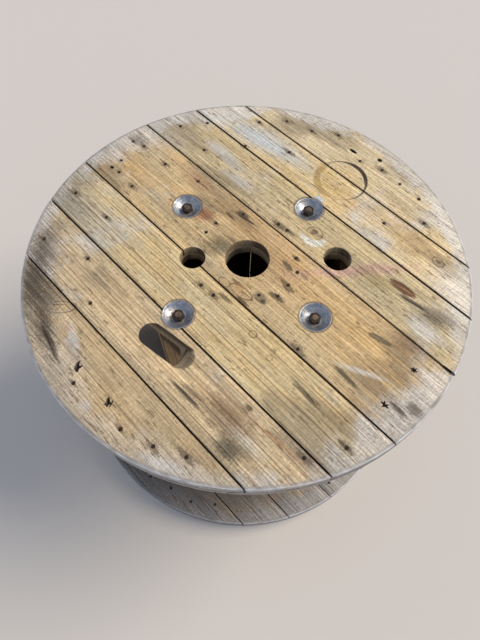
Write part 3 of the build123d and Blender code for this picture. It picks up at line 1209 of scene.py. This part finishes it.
@dataclass
class FlangeLayer:
    """One layer of a flange: parallel boards, sawn round together and drilled.

    Attributes:
        prefix: The front of the names of its CAD nodes.
        boards: How many boards it has.
        grain: The way its boards run.
        slot: The record's material slot.
        finishes: The materials that its boards take by turns.
        dishes: The side on which washers are sunk into it, if any.
        groove: The side on which it takes the stave ends, if any.
        is_upper: Whether it belongs to the upper flange, with the pin holes and the cable slot.
        seed: Start of its random draws.
        radius: The radius of the flange in millimetres, as all its lengths are.
        arbor_radius: The radius of the arbor hole.
        rod_hole: The radius of the hole for a tie rod.
        groove_radii: The inner and the outer radius of the groove.
        groove_depth: The depth of the groove.
        slot_length: The length of the cable slot.
        slot_width: The width of the cable slot.
        slot_radius: How far from the axis the slot lies.
        slot_angle: The angle at which it lies, in degrees.
        slot_run: How far it slants on its way through the flange.
        arris: How far the long edges of a board are rounded.
        rim_wear: How far the rim is worn at its open edge.
        joint_wear: How far it is worn where the other layer meets it.
        seam_wear: How much wider than the CAD's each seam between two boards has worn.
        tones: How dark each board has gone, from 0 to 1, or nothing for random tones.
        tools: The cutters that shape the layer.
    """

    prefix: str
    boards: int
    grain: Grain
    slot: str
    finishes: Sequence[bpy.types.Material]
    dishes: Side | None = None
    groove: Side | None = None
    is_upper: bool = False
    seed: int = 1
    radius: float = 400.0
    arbor_radius: float = 40.0
    rod_hole: float = 6.5
    groove_radii: Point = (173.0, 192.86)
    groove_depth: float = 6.0
    slot_length: float = 107.0
    slot_width: float = 42.0
    slot_radius: float = 217.86
    slot_angle: float = -81.6
    slot_run: float = 36.0
    arris: float = 1.0
    rim_wear: float = 3.6
    joint_wear: float = 0.6
    seam_wear: tuple[float, ...] = ()
    tones: tuple[float, ...] = ()
    tools: list[Solid] = field(default_factory=list)

    def levels(self) -> Point:
        """Lowest and highest level of the layer in millimetres."""
        low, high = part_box(f"{self.prefix}_1")
        return low[2] / MM, high[2] / MM

    def slot_tool(self, floor: float, ceiling: float) -> Solid:
        """Shape the slanted block of wood that the cable slot takes out.

        Args:
            floor: The lower face of the layer.
            ceiling: Its upper face.

        Returns:
            The cutter.
        """
        shift = (self.slot_length - self.slot_width) / 2
        tool = drill("slot_tool", self.slot_width / 2, floor, ceiling, 1.6, 64)
        self.push(tool, lambda at: at.x > 0.05 * MM, shift)
        self.push(tool, lambda at: at.x < 0.05 * MM, -shift)
        for level in sorted({round(vertex.co.z / MM, 3) for vertex in tool.data.vertices}):
            slide = (level - HEIGHT) * self.slot_run / FLANGE
            self.push(tool, lambda at, level=level: abs(at.z / MM - level) < 0.01, slide)
        turn = Matrix.Rotation(math.radians(self.slot_angle + 90), 4, "Z")
        tool.matrix_world = turn @ Matrix.Translation((0, -self.slot_radius * MM, 0))
        return settle(tool, "slot_tool")

    def push(self, tool: Solid, wanted: Callable[[Vector], bool], distance: float) -> None:
        """Move some corners of a tool along X.

        Args:
            tool: The tool.
            wanted: Whether a corner at this place moves.
            distance: How far it moves, in millimetres.
        """
        with edit_mode(tool):
            bpy.ops.mesh.select_mode(type="VERT")
            bpy.ops.mesh.select_all(action="DESELECT")
        for vertex in tool.data.vertices:
            vertex.select = wanted(vertex.co)
        bpy.ops.object.mode_set(mode="EDIT")
        bpy.ops.transform.translate(value=(distance * MM, 0, 0))
        bpy.ops.object.mode_set(mode="OBJECT")

    def dish_tool(self, place: Point) -> Solid:
        """Turn the cutter for one washer's recess.

        Args:
            place: Where the washer's rod stands.

        Returns:
            The cutter.
        """
        face = self.levels()[1] if self.dishes is Side.UP else self.levels()[0]
        profile = [(r, face - self.dishes.value * depth) for r, depth in DISH_RECESS]
        return turned("dish_cutter", profile, 64, place)

    def make_tools(self) -> None:
        """Make the drills and cutters that shape the layer."""
        floor, ceiling = self.levels()
        self.tools.append(drill("arbor_drill", self.arbor_radius, floor, ceiling, 1.4, 96))
        for place in rod_places():
            self.tools.append(rod_blank("rod_drill", self.rod_hole, floor - 2, ceiling + 2, 32, place))
            if self.dishes:
                self.tools.append(self.dish_tool(place))
        if self.is_upper:
            for reach, angle, radius in (SMALL_PIN, LARGE_PIN):
                place = on_circle(reach, math.radians(angle))
                self.tools.append(drill("pin_drill", radius, floor, ceiling, 1.2, 72, place))
            self.tools.append(self.slot_tool(floor, ceiling))
        if self.groove:
            inner, outer = self.groove_radii
            low, high = floor - 2, floor + self.groove_depth
            if self.groove is Side.UP:
                low, high = ceiling - self.groove_depth, ceiling + 2
            hoop = ((inner, low), (outer, low), (outer, high), (inner, high), (inner, low))
            self.tools.append(turned("groove_cutter", hoop, 168))

    def board(self, number: int, rng: random.Random) -> Solid:
        """Saw, drill and round one board of the layer.

        Args:
            number: The number of its CAD node.
            rng: The layer's random draws.

        Returns:
            The board, tagged with its growth rings and its tone.
        """
        name = f"{self.prefix}_{number}"
        across = 1 - self.grain.value
        low, high = (list(corner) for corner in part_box(name))
        rubbed = rng.uniform(0.1, 0.45) * MM
        if self.dishes is Side.UP:
            high[2] -= rubbed
        if self.seam_wear:
            low[across] += self.seam_wear[number - 1] / 2 * MM
            high[across] -= self.seam_wear[number] / 2 * MM
        board = block(f"worn_{name}", low, high)
        round_edges(board, self.arris)
        rim = self.rim_saw(rng)
        carve(board, rim, "INTERSECT")
        discard(rim)
        for tool in self.tools:
            if boxes_meet(board, tool):
                carve(board, tool)
        with edit_mode(board):
            bpy.ops.mesh.remove_doubles(threshold=0.02 * MM)
            bpy.ops.mesh.normals_make_consistent(inside=False)
        pith = [(l + h) / 2 for l, h in zip(low, high)]
        pith[across] += rng.choice((-1, 1)) * rng.uniform(0.12, 0.3)
        pith[2] -= rng.uniform(0.01, 0.05)
        pith[self.grain.value] = rng.uniform(-0.3, 0.3)
        tag(board, pith, self.tones[number - 1] if self.tones else rng.uniform(0.2, 0.9))
        return board

    def rim_saw(self, rng: random.Random) -> Solid:
        """Shape what the band saw left of one board's rim: a little uneven, with worn edges.

        Args:
            rng: The layer's random draws.

        Returns:
            The solid that the board is cut down to.
        """
        floor, ceiling = self.levels()
        low_wear, high_wear = self.rim_wear, self.joint_wear
        if self.dishes is Side.UP or self.groove is Side.UP:
            low_wear, high_wear = high_wear, low_wear
        r = self.radius - rng.uniform(0.5, 1.4)
        profile = (
            (r - low_wear - 1.0, floor - 1.0),
            (r - low_wear, floor),
            (r - 0.3 * low_wear, floor + 0.5 * low_wear),
            (r, floor + 1.5 * low_wear),
            (r, ceiling - 1.5 * high_wear),
            (r - 0.3 * high_wear, ceiling - 0.5 * high_wear),
            (r - high_wear, ceiling),
            (r - high_wear - 1.0, ceiling + 1.0),
        )
        saw = turned("rim_saw", profile, 220)
        with edit_mode(saw):
            bpy.ops.transform.vertex_random(offset=0.3 * MM, seed=rng.randrange(10000))
        return saw

    def build(self) -> list[Solid]:
        """Build and dress every board of the layer.

        Returns:
            The boards.
        """
        rng = random.Random(self.seed)
        self.make_tools()
        made = []
        for number in range(1, self.boards + 1):
            finish = self.finishes[(number - 1) % len(self.finishes)]
            made.append(dress(self.board(number, rng), finish, self.slot, f"{self.prefix}_{number}"))
        discard(*self.tools)
        self.tools.clear()
        return made


@dataclass
class Barrel:
    """The ring of upright staves between the flanges.

    Attributes:
        finish: Its material.
        count: How many staves there are.
        inner_flat: From the axis to the inner face of a stave.
        thickness: The thickness of a stave.
        seam_angle: Where one seam between two staves lies, in degrees.
        gap: The gap between two staves.
        arris: How far the edges are rounded.
        seed: Start of its random draws.
    """

    finish: bpy.types.Material
    count: int = 14
    inner_flat: float = 173.5
    thickness: float = 15.0
    seam_angle: float = 131.0
    gap: float = 0.15
    arris: float = 0.9
    seed: int = 7

    def build(self) -> None:
        """Build, turn and dress every stave."""
        rng = random.Random(self.seed)
        pitch = 360 / self.count
        width = 2 * self.inner_flat * math.tan(math.pi / self.count) - self.gap
        low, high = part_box("barrel_stave_1")
        reach, angle, radius = LARGE_PIN
        pin = on_circle(reach, math.radians(angle))
        pin_drill = rod_blank("pin_drill", radius, HEIGHT - FLANGE, HEIGHT - BOARD, 72, pin)
        for number in range(1, self.count + 1):
            thin = rng.uniform(0, 0.8)
            half = width / 2 - rng.uniform(0, 0.05)
            stave = block(
                f"worn_barrel_stave_{number}",
                (self.inner_flat * MM, -half * MM, low[2]),
                ((self.inner_flat + self.thickness - thin) * MM, half * MM, high[2]),
            )
            angle = math.radians(self.seam_angle + (number - 0.5) * pitch)
            stave.matrix_world = Matrix.Rotation(angle, 4, "Z")
            settle(stave, stave.name)
            if boxes_meet(stave, pin_drill):
                carve(stave, pin_drill)
            round_edges(stave, self.arris)
            middle = (self.inner_flat - rng.uniform(10, 60)) * MM
            side = rng.uniform(-0.03, 0.03)
            x, y = on_circle(middle, angle)
            sideways = on_circle(side, angle)
            tag(stave, (x - sideways[1], y + sideways[0], rng.uniform(-0.2, 0.2)), rng.uniform(0.2, 0.9))
            dress(stave, self.finish, "stave_wood", f"barrel_stave_{number}")
        discard(pin_drill)


@dataclass
class TieRods:
    """The four tie rods, with a dished washer and a hexagon nut at each end.

    Attributes:
        zinc: The material of the washers.
        rust: The material of the nuts.
        worn: The material of the rods.
        rod_radius: The radius of a rod.
        pitch: The pitch of its thread.
        threads: How many grooves show at each end of it.
        thread_gap: How far its thread stands off the nut's.
        across_flats: The width of a nut across its flats.
        nut_height: The height of a nut.
        sink: How far a washer's rim lies below the wood.
        depth: How deep a washer is dished.
        section: Half the section of a washer, as radius and depth below its rim.
    """

    zinc: bpy.types.Material
    rust: bpy.types.Material
    worn: bpy.types.Material
    rod_radius: float = 6.0
    pitch: float = 1.75
    threads: int = 16
    thread_gap: float = 0.05
    across_flats: float = 19.0
    nut_height: float = 8.0
    sink: float = 0.5
    depth: float = 10.0
    section: tuple[Point, ...] = (
        (6.6, 12.0), (12.0, 12.0), (15.6, 10.5), (19.2, 8.3), (23.2, 5.2), (26.1, 2.6), (27.5, 0.5),
        (27.4, 0.1), (26.9, 0.0), (26.2, 0.15), (25.5, 0.7), (24.4, 2.0), (21.7, 4.2), (17.9, 7.0),
        (14.5, 9.2), (12.3, 9.9), (11.4, 10.0), (6.9, 10.0), (6.6, 10.3), (6.6, 12.0),
    )

    def washer(self, number: int, side: Side, place: Point) -> Solid:
        """Turn one dished washer.

        Args:
            number: The number of its tie rod.
            side: The face that it is pressed into.
            place: Where its rod stands.

        Returns:
            The washer.
        """
        top = HEIGHT - self.sink if side is Side.UP else self.sink
        profile = [(r, top - side.value * d) for r, d in self.section]
        return turned(f"pressed_{side.word()}_dished_washer_{number}", profile, 64, place)

    def nut(self, name: str, low: float, place: Point, turn: float) -> Solid:
        """Make one hexagon nut with turned corners and a countersunk bore.

        Args:
            name: Its name.
            low: The level of its lower face.
            place: Where its rod stands.
            turn: How far it is turned, in radians.

        Returns:
            The nut.
        """
        top = low + self.nut_height
        flat = self.across_flats / 2
        corner = flat / math.cos(math.pi / 6)
        nut = rod_blank(name, corner, low, top, 6)
        rounded = ((flat - 0.3, low), (corner + 0.1, low + 1.0), (corner + 0.1, top - 1.0), (flat - 0.3, top))
        blank = turned("nut_blank", rounded, 48)
        bore = self.rod_radius + self.thread_gap
        sunk = ((bore + 1.2, low - 0.4), (bore, low + 0.8), (bore, top - 0.8), (bore + 1.2, top + 0.4))
        tap = turned("nut_bore", sunk, 32)
        carve(nut, blank, "INTERSECT")
        carve(nut, tap)
        discard(blank, tap)
        shift = Matrix.Translation((place[0] * MM, place[1] * MM, 0))
        nut.matrix_world = shift @ Matrix.Rotation(turn, 4, "Z")
        return settle(nut, name)

    def rod(self, number: int, place: Point) -> Solid:
        """Turn one tie rod, plain in the middle and grooved as a thread at both ends.

        Args:
            number: Its number.
            place: Where it stands.

        Returns:
            The rod.
        """
        low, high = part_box(f"tie_rod_{number}")
        bottom, top = low[2] / MM, high[2] / MM
        root = self.rod_radius - 0.9
        crest = self.rod_radius - self.thread_gap
        profile: list[Point] = [(root - 0.4, bottom), (root, bottom + 0.5)]
        for n in range(self.threads):
            level = bottom + 0.5 + n * self.pitch
            profile += [(crest, level + self.pitch * 0.5), (root, level + self.pitch)]
        profile.append((crest, profile[-1][1] + 1.0))
        mirrored = [(r, bottom + top - z) for r, z in reversed(profile)]
        return turned(f"threaded_tie_rod_{number}", profile + mirrored, 24, place)

    def build(self) -> None:
        """Build and dress the rods, washers and nuts."""
        rng = random.Random(12)
        nuts: dict[Side, list[Solid]] = {side: [] for side in Side}
        seat = self.sink + self.depth
        for number, place in enumerate(rod_places(), start=1):
            dress(self.rod(number, place), self.worn, "rusted_steel", f"tie_rod_{number}")
            for side in Side:
                node = f"{side.word()}_dished_washer_{number}"
                dress(self.washer(number, side, place), self.zinc, "galvanised_steel", node)
                low = HEIGHT - seat if side is Side.UP else seat - self.nut_height
                turn = rng.uniform(0, math.pi / 3)
                nuts[side].append(self.nut(f"{side.word()}_nut_{number}", low, place, turn))
        for side, made in nuts.items():
            node = f"{side.word()}_rod_nuts"
            dress(joined(f"chamfered_{node}", made), self.rust, "rusted_steel", node)


@dataclass
class Nails:
    """Wire nails driven a little below the face of the boards.

    Attributes:
        material: The material of the heads.
        head_radius: The radius of a head.
        shank_radius: The radius of a shank.
        sunk: How far the head lies below the wood.
    """

    material: bpy.types.Material
    head_radius: float = 2.7
    shank_radius: float = 1.2
    sunk: float = 0.9

    def pits(
        self, boards: Sequence[Solid], face: float, side: Side, places: Sequence[Point], seed: int
    ) -> None:
        """Crush a pit into the boards at each nail.

        Args:
            boards: The boards of the layer.
            face: The level of their face in millimetres.
            side: The way the face looks.
            places: Where the nails are, in millimetres.
            seed: Start of the random draws.
        """
        rng = random.Random(seed)
        tools = []
        for place in places:
            wide = self.head_radius + rng.uniform(0.5, 1.3)
            section = ((wide + 0.7, -1.0), (wide, 0.7), (wide - 0.5, rng.uniform(1.7, 2.4)))
            profile = [(r, face - side.value * deep) for r, deep in section]
            tool = turned("nail_punch", profile, 10, place)
            with edit_mode(tool):
                bpy.ops.transform.vertex_random(offset=0.35 * MM, seed=rng.randrange(10000))
            tools.append(tool)
        for board in boards:
            near = [copy_of(tool, "punch") for tool in tools if boxes_meet(board, tool)]
            if near:
                punch = joined("punches", near)
                carve(board, punch)
                discard(punch)
                smooth(board)
        discard(*tools)

    def heads(self, name: str, face: float, side: Side, places: Sequence[Point]) -> Solid:
        """Set the heads of the nails into their pits.

        Args:
            name: The name of the piece.
            face: The level of the face in millimetres.
            side: The way the face looks.
            places: Where the nails are, in millimetres.

        Returns:
            The heads as one piece.
        """
        shank, rim = self.shank_radius, self.head_radius
        section = ((shank, 6.0), (shank, 1.2), (rim, 1.0), (rim, 0.2), (rim - 0.6, 0.0))
        top = face - side.value * self.sunk
        master = turned("nail_head", [(r, top - side.value * deep) for r, deep in section], 12)
        heads = []
        for x, y in places:
            head = copy_of(master, "head")
            head.location = (x * MM, y * MM, 0)
            heads.append(head)
        discard(master)
        return dress(joined(name, heads), self.material, "rusted_steel")


def tear_out(boards: Sequence[Solid], gouges: Sequence[Gouge]) -> None:
    """Tear the gouges out of the boards.

    Args:
        boards: The boards of the upper face.
        gouges: The gouges.
    """
    for hollow in gouges:
        tool = hollow.tool()
        for board in boards:
            if boxes_meet(board, tool):
                carve(board, tool)
                smooth(board)
        discard(tool)


def ring_of_nails(
    radii: Sequence[float], count: int, start: float, seed: int, scatter: float = 2.5
) -> tuple[Point, ...]:
    """Places of nails round a circle, on the given radii by turns.

    Args:
        radii: The radii that the nails take by turns, in millimetres.
        count: How many nails there are.
        start: The angle of the first one in degrees.
        seed: Start of the random draws.
        scatter: How far a nail may stray, in millimetres.

    Returns:
        The places in millimetres.
    """
    rng = random.Random(seed)
    places = []
    for n in range(count):
        reach = radii[n % len(radii)] + rng.uniform(-scatter, scatter)
        places.append(on_circle(reach, math.radians(start + 360 * n / count)))
    return tuple(places)


# Studio


@dataclass
class Studio:
    """A pale floor, a white surround, one broad lamp and the camera.

    Attributes:
        right: The camera's right in the frame of the part.
        up: The camera's up.
        forward: The way the camera looks.
        place: Where the camera stands, in metres.
        lens: Its focal length for a sensor 36 mm high.
        floor_colour: The colour of the floor.
        sky_colour: The colour of the light from all round.
        key_colour: The colour of the light from the right.
        surround: The strength of the light from all round.
        key: The strength of the light from the right.
        key_place: Where that light comes from, in metres.
        key_aim: The point that it shines at.
        key_spread: How broad it is, in degrees.
    """

    right: tuple[float, float, float] = (0.694800, 0.719091, 0.012683)
    up: tuple[float, float, float] = (-0.643134, 0.613322, 0.458493)
    forward: tuple[float, float, float] = (-0.321919, 0.326718, -0.888608)
    place: tuple[float, float, float] = (0.34986, -0.36968, 1.29335)
    lens: float = 28.03
    floor_colour: str = "#d9d6d2"
    sky_colour: str = "#dfe8fb"
    key_colour: str = "#fff0dc"
    surround: float = 0.5
    key: float = 2.55
    key_place: tuple[float, float, float] = (0.9, 1.7, 2.3)
    key_aim: tuple[float, float, float] = (0.0, 0.0, 0.45)
    key_spread: float = 38.0

    def build(self) -> None:
        """Set up the whole studio."""
        self.set_camera()
        self.lay_floor()
        self.light_surround()
        self.hang_lamp()
        bpy.context.scene.view_settings.view_transform = "Standard"

    def set_camera(self) -> None:
        """Stand the camera where the photograph was taken from."""
        lens = bpy.data.cameras.new("camera")
        lens.sensor_fit = "VERTICAL"
        lens.sensor_height = 36
        lens.lens = self.lens
        camera = bpy.data.objects.new("camera", lens)
        turn = Matrix((self.right, self.up, [-v for v in self.forward])).transposed().to_4x4()
        camera.matrix_world = Matrix.Translation(self.place) @ turn
        bpy.context.scene.collection.objects.link(camera)
        bpy.context.scene.camera = camera

    def lay_floor(self) -> None:
        """Lay the floor that the drum stands on."""
        bpy.ops.object.select_all(action="DESELECT")
        bpy.ops.mesh.primitive_plane_add(size=30)
        floor = settle(bpy.context.object, "floor")
        material, shader, add = new_material("matt_floor_paint")
        grit = add("TexNoise", add("TexCoord", out="Object"), Scale=60.0, Detail=3.0)
        bump = add("Bump", Strength=0.05, Distance=0.3 * MM, Height=grit)
        adjust(shader, Base_Color=linear(self.floor_colour), Roughness=0.9, Normal=bump)
        floor.data.materials.append(material)

    def light_surround(self) -> None:
        """Light the drum faintly from all round, and show white behind it."""
        world = bpy.data.worlds.new("surround")
        bpy.context.scene.world = world
        world.use_nodes = True
        add = partial(add_node, world.node_tree)
        rays = add("LightPath").node.outputs
        seen = add("Math", rays["Is Camera Ray"], rays["Is Transmission Ray"], operation="MAXIMUM")
        adjust(
            world.node_tree.nodes["Background"],
            Color=add("Mix", seen, linear(self.sky_colour), linear("#ffffff"), **COLOUR),
            Strength=add("Math", seen, 1.0 - self.surround, self.surround, operation="MULTIPLY_ADD"),
        )

    def hang_lamp(self) -> None:
        """Light the drum from a broad lamp on the camera's right."""
        lamp = bpy.data.lights.new("window", "SUN")
        lamp.angle = math.radians(self.key_spread)
        lamp.energy = self.key
        lamp.color = linear(self.key_colour)[:3]
        window = bpy.data.objects.new("window", lamp)
        window.location = self.key_place
        aim = Vector(self.key_aim) - window.location
        window.rotation_euler = aim.to_track_quat("-Z", "Y").to_euler()
        bpy.context.scene.collection.objects.link(window)


def face_finishes() -> list[bpy.types.Material]:
    """Make a finish for each board of the upper face, with the nails and marks that touch it.

    Returns:
        The materials, from the first board to the last.
    """
    levels = (-401.0, *FACE_SEAMS, 401.0)
    # Deep or narrow gouges get painted shade in their hollows.
    deep = [mark for mark in FACE_GOUGES if mark.depth > 3 or mark.wide < 2]
    stains = FACE_STAINS + tuple(mark.dirt_and_shade() for mark in deep)
    finishes = []
    for number, (early, amber, greying, lines) in enumerate(FACE_TINTS, start=1):
        low, high = levels[number - 1], levels[number]
        finish = SawnPine(
            f"weathered_sawn_pine_{number}",
            Grain.X,
            early=early,
            late="#a98663",
            amber=amber,
            grey="#dcdddc",
            dirt_and_shade="#43372d",
            greying=greying,
            nails=tuple(nail for nail in FACE_NAILS if low - 20 < nail[1] < high + 20),
            stains=tuple(stain for stain in stains if stain.touches(low, high)),
            rings=tuple(mark for mark in FACE_RINGS if mark.touches(low, high)),
            seams=tuple(seam for seam in FACE_SEAMS if low - 1 < seam < high + 1),
            lines=lines,
        )
        finishes.append(finish.build())
    return finishes


def flange_layers() -> dict[str, FlangeLayer]:
    """Set out the four layers of boards, with their finishes.

    Returns:
        The layers by name.
    """
    # The lengthwise boards, of which the lower flange's inner face is made, take painted shade round the
    # barrel.
    along_x = SawnPine(
        "greyed_sawn_pine_x", Grain.X, "#bfb197", "#94795a", "#c9b08a", "#b0b1b2", "#40362e", 1.0, core=0.85
    )
    along_y = SawnPine(
        "greyed_sawn_pine_y", Grain.Y, "#c9b797", "#8f7049", "#d8b988", "#b4b3b0", "#40362e", 1.0
    )
    crosswise, lengthwise = [along_y.build()], [along_x.build()]
    wood = "flange_wood"
    layers = (
        FlangeLayer(
            "upper_face_board",
            7,
            Grain.X,
            "face_wood",
            face_finishes(),
            dishes=Side.UP,
            is_upper=True,
            seed=3,
            tones=(0.35, 0.5, 0.75, 0.6, 0.35, 0.8, 0.3),
            seam_wear=(0, 0.3, 0.6, 0.5, 0.0, 1.3, 0.6, 0),
        ),
        FlangeLayer(
            "upper_back_board", 7, Grain.Y, wood, crosswise, groove=Side.DOWN, is_upper=True, seed=4
        ),
        FlangeLayer("lower_back_board", 8, Grain.X, wood, lengthwise, groove=Side.UP, seed=5),
        FlangeLayer("lower_face_board", 7, Grain.Y, wood, crosswise, dishes=Side.DOWN, seed=6),
    )
    return {layer.prefix.removesuffix("_board"): layer for layer in layers}


def drive_nails(boards: dict[str, list[Solid]]) -> None:
    """Nail the open faces of the four layers.

    Args:
        boards: The boards of each layer by its name.
    """
    steel = RustedSteel("rusted_nail_steel", dark="#221d1a", brown="#372a22", orange="#523828")
    nails = Nails(steel.build())
    rim = ring_of_nails((369, 361), 40, -81.6, 21)
    middle = ring_of_nails((278,), 18, 5, 22, 5.0)
    hub = ring_of_nails((96,), 10, 12, 23)
    for layer, face, side, places, seed in (
        ("upper_face", HEIGHT, Side.UP, FACE_NAILS, 31),
        ("lower_back", FLANGE, Side.UP, rim + middle, 32),
        ("upper_back", HEIGHT - FLANGE, Side.DOWN, rim + middle, 33),
        ("lower_face", 0.0, Side.DOWN, rim + middle + hub, 34),
    ):
        nails.pits(boards[layer], face, side, places, seed)
        nails.heads(f"{layer}_nails", face, side, places)


def main() -> None:
    """Build the drum and the studio round it."""
    logging.basicConfig(level=logging.INFO, format="%(message)s")
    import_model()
    boards = {name: layer.build() for name, layer in flange_layers().items()}
    upright = SawnPine(
        "sawn_pine_staves", Grain.Z, "#937b58", "#6a4f30", "#a37d4e", "#7d786f", "#30281f", 0.7
    )
    Barrel(upright.build()).build()
    rust = RustedSteel("rusted_nut_steel", dark="#1f1a17", brown="#3d3129", orange="#6b543f")
    worn = RustedSteel("rusted_rod_steel", dark="#4f463d", brown="#7b6c5a", orange="#a8957b")
    TieRods(GalvanisedSteel().build(), rust.build(), worn.build()).build()
    tear_out(boards["upper_face"], FACE_GOUGES)
    drive_nails(boards)
    Studio().build()


if __name__ == "__main__":
    main()
